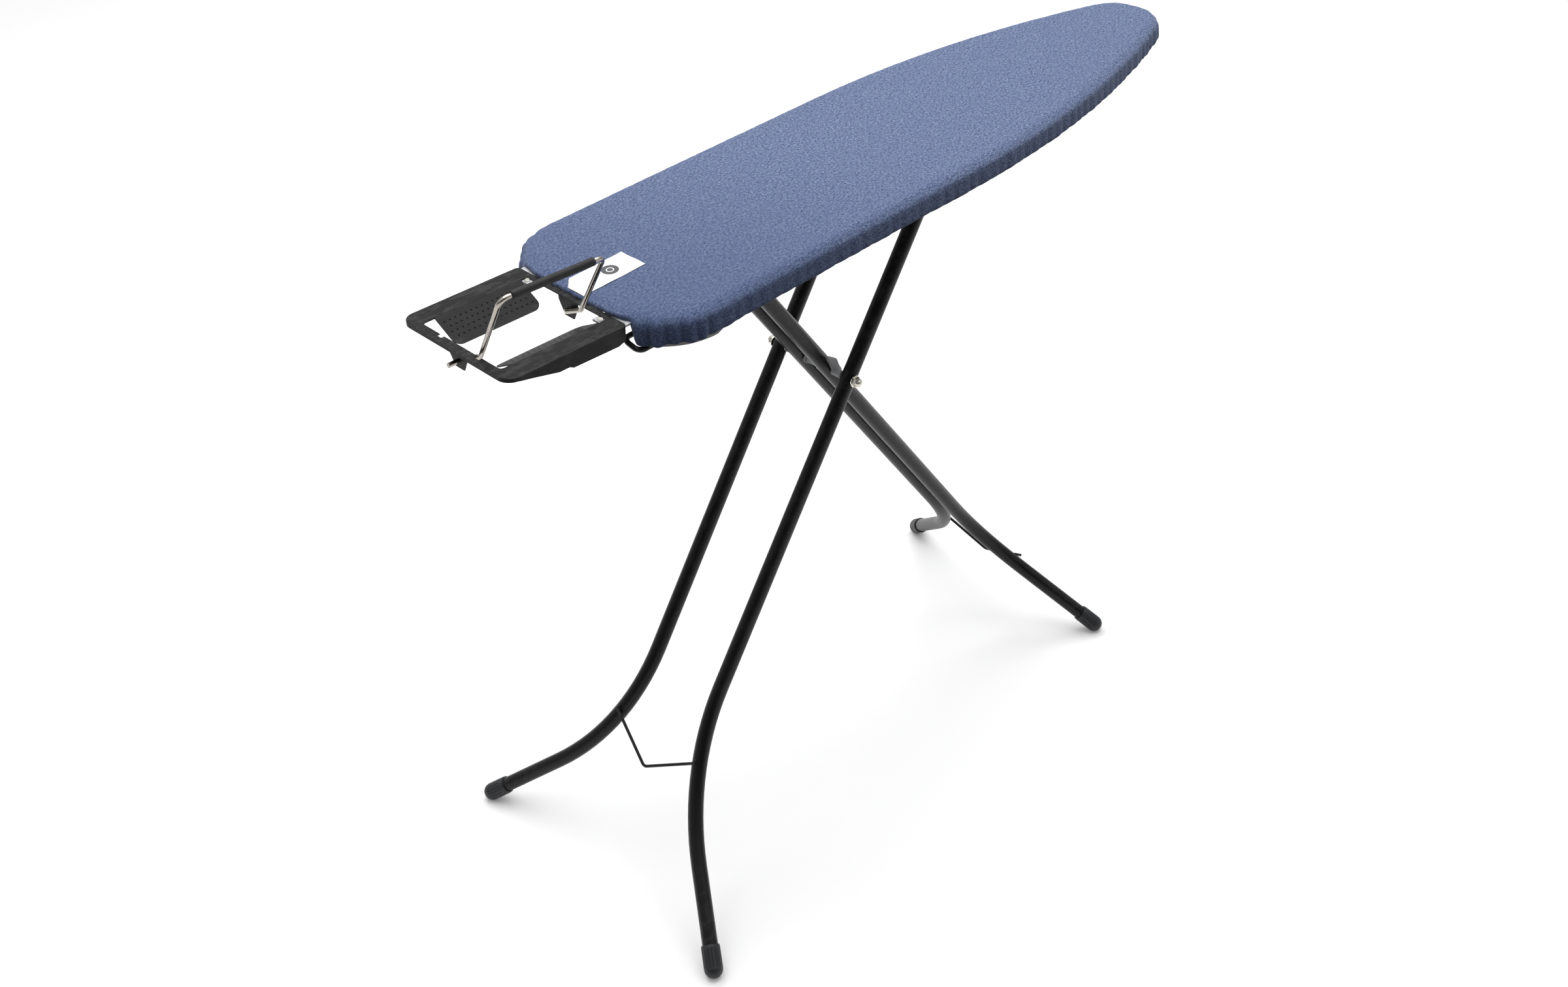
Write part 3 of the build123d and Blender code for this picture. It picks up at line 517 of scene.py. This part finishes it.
def make_cover(material):
    """The fitted cloth cover: one sheet, flat on top, rolled over the edge and gathered at the hem."""
    count = round(EDGE.length / (4.5 * MM))
    stations = ring_points(count)
    profiles = [cloth_profile(hem_height(s, p), turned_in(p)) for s, p, _ in stations]
    rings = len(profiles[0])
    verts, flat, free = [], [], []
    for row in range(rings):
        for (s, p, n), profile in zip(stations, profiles):
            inset, z, loose = profile[row]
            out = gather(s, p) * loose
            place = p - n * (inset - out)
            unrolled = sum(math.dist(profile[k][:2], profile[k + 1][:2]) for k in range(row, rings - 1))
            spread = p - n * (profile[-1][0] - unrolled)
            verts.append(Vector((place.x, place.y, z)))
            flat.append(spread)
            free.append(loose)
    faces = strips(rings, count)
    border = [Vector((v.x, v.y, 0)) for v in verts[-count:]]
    points, triangles = fill_inside(border, 9 * MM, 5 * MM)
    first = (rings - 1) * count
    tree = KDTree(count)
    for index, (_, p, _) in enumerate(stations):
        tree.insert((p.x, p.y, 0), index)
    tree.balance()
    for p in points[count:]:
        inward = tree.find((p.x, p.y, 0))[2]
        crown = 1.1 * MM * smooth(inward, 30 * MM, 130 * MM)
        ripple = 0.35 * MM * noise.noise(Vector((p.x / 0.07, p.y / 0.05, 4.0)))
        verts.append(Vector((p.x, p.y, TOP_Z + crown + ripple)))
        flat.append(Vector((p.x, p.y)))
        free.append(0.0)
    faces += [tuple(first + i for i in face) for face in triangles]
    cover = add_object("cover_cloth", verts, faces, material)
    layer = cover.data.uv_layers.new(name="cloth")
    for loop in cover.data.loops:
        layer.data[loop.index].uv = flat[loop.vertex_index]
    held = [1.0 if i < count else 0.0 for i in range(len(verts))]
    cap = [(0.6 + 4.5 * f) * MM for f in free]
    settle(cover, held, free, pressure=16.0, growth=0.09, cap=cap)
    soften = cover.modifiers.new("Subdivision", "SUBSURF")
    soften.levels = soften.render_levels = 1
    thick = cover.modifiers.new("Thickness", "SOLIDIFY")
    thick.thickness, thick.offset = 0.8 * MM, -1.0
    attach(cover, "board")
    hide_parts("cover")
    return cover, count


def make_hem(cover, count, material):
    """The elastic casing along the cloth's edge, ruched all the way round."""
    edge = [cover.data.vertices[i].co.copy() for i in range(count)]
    sides = 8
    fine = 3
    verts = []
    total = count * fine
    for k in range(total):
        i, t = divmod(k, fine)
        a, b = edge[i], edge[(i + 1) % count]
        centre = a.lerp(b, t / fine)
        s, (p, n) = EDGE.length * k / total, EDGE.at(EDGE.length * k / total)
        ruche = 1 + 0.16 * math.sin(2 * math.pi * s / (5.2 * MM) + 2 * wander(s, 20 * MM, 5.5))
        for j in range(sides):
            turn = 2 * math.pi * j / sides
            thin = 1 - 0.85 * behind_tray(p)
            out, up = 2.3 * MM * thin * ruche * math.cos(turn), 1.5 * MM * thin * ruche * math.sin(turn)
            verts.append(Vector((centre.x + n.x * out, centre.y + n.y * out, centre.z + up)))
    faces = []
    for k in range(total):
        for j in range(sides):
            a, b = k * sides, ((k + 1) % total) * sides
            faces.append((a + j, a + (j + 1) % sides, b + (j + 1) % sides, b + j))
    hem = add_object("cover_hem", verts, faces, material)
    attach(hem, "board")
    return hem


# ==== felt pad =======================================================================================
def make_pad(material):
    """The felt under the cover: flat on the steel, turned down round the rim, longer at square corners."""
    count = round(EDGE.length / (8 * MM))
    stations = ring_points(count)
    inside = 4.7 * MM
    flat_z, steel_z = PAD_HIGH.z - 0.3 * MM, PAD_LOW.z + 0.05 * MM
    outer, inner = [], []
    for s, p, n in stations:
        peep = smooth(p.x, END_X + 118 * MM, END_X + 84 * MM) * smooth(abs(p.y), 96 * MM, 108 * MM)
        low = HEM_Z + (3.0 - 12.0 * peep) * MM + 0.9 * MM * wander(s, 26 * MM, 6.2)
        low += (steel_z + 0.5 * MM - low) * behind_tray(p)
        deep = min(ROLL_DEEP - PAD_UNDER + 0.3 * MM, 0.7 * (flat_z - low))
        out = 0.25 * MM * wander(s, 15 * MM, 2.2) - 0.8 * MM * peep
        side = flat_z - deep - low
        column = [(PAD_UNDER + out, low), (PAD_UNDER + out, low + 0.5 * side),
                  (PAD_UNDER + 0.5 * out, low + 0.8 * side)]
        column += [(PAD_UNDER + inset, flat_z - deep + up)
                   for inset, up, _ in roll(ROLL_WIDE - PAD_UNDER, deep, 6)]
        outer.append([(p - n * inset, z) for inset, z in column])
        column = [(inside, low + 0.3 * MM), (inside, 0.5 * (low + steel_z)), (inside, steel_z),
                  (inside + 15 * MM, steel_z)]
        inner.append([(p - n * inset, z) for inset, z in column])
    rings = [[o[row] for o in outer] for row in range(len(outer[0]))]
    under = [[o[row] for o in inner] for row in range(len(inner[0]))]
    verts = [Vector((q.x, q.y, z)) for ring in rings for q, z in ring]
    faces = strips(len(rings), count)
    top_border = verts[-count:]
    points, triangles = fill_inside([Vector((v.x, v.y, 0)) for v in top_border], 16 * MM, 8 * MM)
    first = (len(rings) - 1) * count
    verts += [Vector((p.x, p.y, flat_z + 0.2 * MM * noise.noise(Vector((p.x / 0.03, p.y / 0.03, 1.0)))))
              for p in points[count:]]
    faces += [tuple(first + i for i in face) for face in triangles]
    base = len(verts)
    verts += [Vector((q.x, q.y, z)) for ring in under for q, z in ring]
    faces += [tuple(reversed(face)) for face in strips(len(under), count, base)]
    for i in range(count):
        j = (i + 1) % count
        faces.append((i, base + i, base + j, j))
    border = verts[-count:]
    points, triangles = fill_inside([Vector((v.x, v.y, 0)) for v in border], 16 * MM, 8 * MM)
    first = len(verts) - count
    verts += [Vector((p.x, p.y, steel_z)) for p in points[count:]]
    faces += [tuple(first + i for i in reversed(face)) for face in triangles]
    pad = add_object("felt_pad", verts, faces, material)
    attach(pad, "board")
    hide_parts("underlay")
    return pad


# ==== tag ============================================================================================
def make_tag(cover, material):
    """A thin woven tag laid on the cover, following it, one corner cut and its free edges just lifted."""
    columns, rows = 42, 24
    width, depth = LABEL_HIGH.x - LABEL_LOW.x, LABEL_HIGH.y - LABEL_LOW.y
    cut = 12 * MM
    seen = cover.evaluated_get(bpy.context.evaluated_depsgraph_get())
    verts, index = [], {}
    for i in range(columns + 1):
        for j in range(rows + 1):
            x, y = LABEL_LOW.x + width * i / columns, LABEL_LOW.y + depth * j / rows
            past = (LABEL_LOW.x + cut - x) + (y - LABEL_HIGH.y + cut) - cut
            if past > 0:
                x, y = x + past / 2, y - past / 2
            hit, place, _, _ = seen.ray_cast(Vector((x, y, TOP_Z + 0.05)), Vector((0, 0, -1)))
            z = place.z if hit else TOP_Z
            u, v = abs(2 * i / columns - 1), abs(2 * j / rows - 1)
            curl = 0.6 + noise.noise(Vector((x * 60, y * 60, 0)))
            lift = 0.45 * MM + 0.55 * MM * max(0.0, max(u, v) - 0.8) / 0.2 * curl
            index[i, j] = len(verts)
            verts.append(Vector((x, y, z + max(lift, 0.4 * MM))))
    faces = [(index[i, j], index[i + 1, j], index[i + 1, j + 1], index[i, j + 1])
             for i in range(columns) for j in range(rows)]
    tag = add_object("cover_tag", verts, faces, material)
    thick = tag.modifiers.new("Thickness", "SOLIDIFY")
    thick.thickness, thick.offset = 0.25 * MM, 0.0
    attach(tag, "board")
    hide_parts("cover_label")
    return tag


# ==== small pieces =====================================================================================
def make_beads(name, body, places, axis, material):
    """Lumpy weld beads where a brace wire is laid on its two tubes."""
    verts, faces = [], []
    around, along = 14, 9
    side = Vector((0, 1, 0))
    up = axis.cross(side)
    for place in places:
        base = len(verts)
        for i in range(along + 1):
            bow = math.pi * i / along
            for j in range(around):
                turn = 2 * math.pi * j / around
                lump = 1 + 0.22 * noise.noise(Vector((place.y * 900 + i * 0.9, j * 0.8, 2.0)))
                across = math.sin(bow) * lump
                verts.append(place + axis * (4.6 * MM * -math.cos(bow) * lump)
                             + side * (3.3 * MM * across * math.cos(turn))
                             + up * (1.7 * MM * across * math.sin(turn)))
        for i in range(along):
            for j in range(around):
                k = (j + 1) % around
                a, b = base + i * around, base + (i + 1) * around
                faces.append((a + j, a + k, b + k, b + j))
    beads = add_object(name, verts, faces, material)
    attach(beads, body)
    return beads


# ==== studio =========================================================================================
def make_camera():
    cam = bpy.data.cameras.new("camera")
    cam.lens, cam.sensor_width = CAMERA_LENS, 36.0
    cam.shift_x, cam.shift_y = CAMERA_SHIFT
    cam.clip_start, cam.clip_end = 0.05, 100
    cy, sy = math.cos(CAMERA_YAW), math.sin(CAMERA_YAW)
    cp, sp = math.cos(CAMERA_PITCH), math.sin(CAMERA_PITCH)
    look = Vector((cy * cp, sy * cp, -sp))
    right = Vector((sy, -cy, 0))
    up = right.cross(look)
    cr, sr = math.cos(CAMERA_ROLL), math.sin(CAMERA_ROLL)
    right, up = cr * right + sr * up, cr * up - sr * right
    rotation = Matrix((right, up, -look)).transposed()
    holder = bpy.data.objects.new("camera", cam)
    holder.matrix_world = Matrix.Translation(CAMERA_PLACE) @ rotation.to_4x4()
    bpy.context.scene.collection.objects.link(holder)
    bpy.context.scene.camera = holder


def area_light(name, place, aim, size, power, colour=(1, 1, 1)):
    light = bpy.data.lights.new(name, "AREA")
    light.shape, light.size, light.size_y = "RECTANGLE", size[0], size[1]
    light.energy, light.color = power, colour
    holder = bpy.data.objects.new(name, light)
    holder.location = place
    holder.rotation_euler = (Vector(aim) - Vector(place)).to_track_quat("-Z", "Y").to_euler()
    bpy.context.scene.collection.objects.link(holder)


def make_world():
    """A soft dome: bright overhead, dimmer towards the floor and on the side the camera stands."""
    world = bpy.data.worlds.new("studio")
    bpy.context.scene.world = world
    world.use_nodes = True
    tree = world.node_tree
    back = tree.nodes["Background"]
    way = tree.nodes.new("ShaderNodeTexCoord")
    split = tree.nodes.new("ShaderNodeSeparateXYZ")
    tree.links.new(way.outputs["Generated"], split.inputs[0])
    height = tree.nodes.new("ShaderNodeMapRange")
    height.interpolation_type = "SMOOTHSTEP"
    for socket, value in (("From Min", 0.05), ("From Max", 0.75), ("To Min", 0.0), ("To Max", 1.0)):
        height.inputs[socket].default_value = value
    tree.links.new(split.outputs[2], height.inputs["Value"])
    dome = tree.nodes.new("ShaderNodeMix")
    dome.data_type = "RGBA"
    dome.inputs[6].default_value, dome.inputs[7].default_value = (0.30, 0.30, 0.31, 1), (1.0, 1.0, 1.0, 1)
    tree.links.new(height.outputs[0], dome.inputs[0])
    side = tree.nodes.new("ShaderNodeVectorMath")
    side.operation = "DOT_PRODUCT"
    side.inputs[1].default_value = (-0.72, -0.69, 0.0)
    tree.links.new(way.outputs["Generated"], side.inputs[0])
    shade = tree.nodes.new("ShaderNodeMapRange")
    shade.interpolation_type = "SMOOTHSTEP"
    for socket, value in (("From Min", 0.15), ("From Max", 0.85), ("To Min", 1.0), ("To Max", 0.12)):
        shade.inputs[socket].default_value = value
    tree.links.new(side.outputs["Value"], shade.inputs["Value"])
    dim = tree.nodes.new("ShaderNodeMix")
    dim.data_type, dim.blend_type = "RGBA", "MULTIPLY"
    dim.inputs[0].default_value = 1.0
    tree.links.new(dome.outputs[2], dim.inputs[6])
    tree.links.new(shade.outputs[0], dim.inputs[7])
    path = tree.nodes.new("ShaderNodeLightPath")
    seen = tree.nodes.new("ShaderNodeMix")
    seen.data_type = "RGBA"
    seen.inputs[7].default_value = (0.97, 0.97, 0.97, 1)
    tree.links.new(path.outputs["Is Camera Ray"], seen.inputs[0])
    tree.links.new(dim.outputs[2], seen.inputs[6])
    tree.links.new(seen.outputs[2], back.inputs["Color"])
    back.inputs["Strength"].default_value = 1.0


def make_floor():
    s = Shader("studio_floor", Specular_IOR_Level=0.1, Emission_Strength=0.10)
    s.body.inputs["Emission Color"].default_value = (1, 1, 1, 1)
    cloud = s.noise(0.8, 2.0)
    material = s.finish(s.mix(s.between(cloud, 0.2, 0.8), (0.92, 0.92, 0.92), (0.94, 0.94, 0.94)),
                        s.between(cloud, 0.2, 0.8, 0.88, 0.92))
    half = 30.0
    corners = [(-half, -half, 0), (half, -half, 0), (half, half, 0), (-half, half, 0)]
    floor = add_object("studio_floor", corners, [(0, 1, 2, 3)], material)
    floor.visible_diffuse = False


def make_studio():
    make_camera()
    make_world()
    make_floor()
    area_light("overhead", (0.4, 0.6, 3.4), (0.1, 0.0, 0.0), (3.2, 3.2), 95)
    scene = bpy.context.scene
    scene.view_settings.view_transform = "Standard"
    scene.view_settings.look = "None"


# ==== the model ======================================================================================
def dress_frame(looks):
    """Gives each CAD node the material of its slot."""
    slots = {p["node"]: p["material_slot"] for p in frame["record"]["subparts"]}
    for name, node in frame["nodes"].items():
        node.data.materials.clear()
        node.data.materials.append(looks[slots[name]])


looks = materials()
dress_frame(looks)
cover, cover_count = make_cover(looks["cover_fabric"])
hem = make_hem(cover, cover_count, looks["hem"])
pad = make_pad(looks["felt"])
tag = make_tag(cover, looks["tag_fabric"])
BEADS = (("outer", Vector((-0.4100, 0.0807, 0.1998)), Vector((-0.572, 0, -0.820))),
         ("inner", Vector((0.3140, 0.0766, 0.1358)), Vector((0.572, 0, -0.820))))
for name, place, axis in BEADS:
    places = [place, Vector((place.x, -place.y, place.z))]
    make_beads(f"{name}_weld_beads", f"{name}_legs", places, axis, looks["leg_black"])
make_studio()
